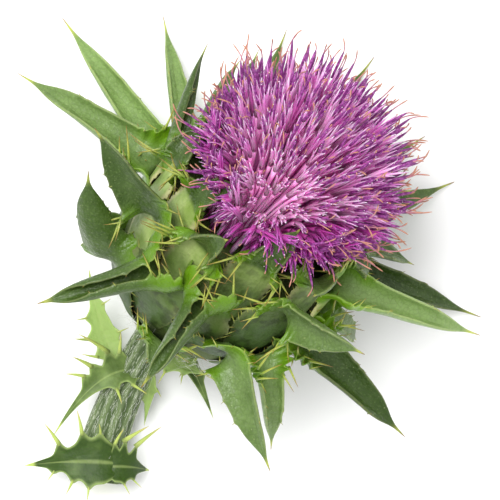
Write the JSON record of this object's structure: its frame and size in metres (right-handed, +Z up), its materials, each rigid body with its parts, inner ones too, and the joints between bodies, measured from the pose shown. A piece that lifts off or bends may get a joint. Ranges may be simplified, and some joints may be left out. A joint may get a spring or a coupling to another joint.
{
  "type": "milk thistle flower head",
  "caption": "Cut milk thistle flower head lying on its side: a pink-purple tuft of florets in a globe of spiny green bracts, on a short leafy stem.",
  "frame": {"origin": "under the middle of the object's box, on the surface that it lies on", "axes": "+Z up from that surface; the flower points up and away between +X and +Y, and the cut end of the stem points to -Y"},
  "size_m": [0.0936, 0.0952, 0.0704],
  "materials": {
    "stem": "ribbed grey-green skin under white wool",
    "bract": "waxy fleshy green with paler scales and straw-yellow spines",
    "leaf": "satin green leaf with spiny edges",
    "floret": "matte pink-purple tubes with darker anthers and orange-brown styles"
  },
  "bodies": {
    "root": {"florets_centre": "floret", "florets_inner": "floret", "florets_outer": "floret", "florets_rim": "floret", "inner_bract_01": "bract", "inner_bract_02": "bract", "inner_bract_03": "bract", "inner_bract_04": "bract", "inner_bract_05": "bract", "inner_bract_06": "bract", "inner_bract_07": "bract", "inner_bract_08": "bract", "inner_bract_09": "bract", "inner_bract_10": "bract", "inner_bract_11": "bract", "middle_bract_01": "bract", "middle_bract_02": "bract", "middle_bract_03": "bract", "middle_bract_04": "bract", "middle_bract_05": "bract", "middle_bract_06": "bract", "middle_bract_07": "bract", "middle_bract_08": "bract", "middle_bract_09": "bract", "middle_bract_10": "bract", "middle_bract_11": "bract", "outer_bract_01": "bract", "outer_bract_02": "bract", "outer_bract_03": "bract", "outer_bract_04": "bract", "outer_bract_05": "bract", "outer_bract_06": "bract", "outer_bract_07": "bract", "outer_bract_08": "bract", "outer_bract_09": "bract", "outer_bract_10": "bract", "outer_bract_11": "bract", "outer_bract_12": "bract", "outer_bract_13": "bract", "outer_bract_14": "bract", "outer_bract_15": "bract", "outer_bract_16": "bract", "outer_bract_17": "bract", "outer_bract_18": "bract", "outer_bract_19": "bract", "stem_and_receptacle": "stem", "stem_leaf_1": "leaf", "stem_leaf_2": "leaf", "stem_leaf_3": "leaf", "stem_leaf_4": "leaf", "stem_leaf_5": "leaf", "stem_leaf_6": "leaf", "stem_leaf_7": "leaf"}
  },
  "joints": []
}
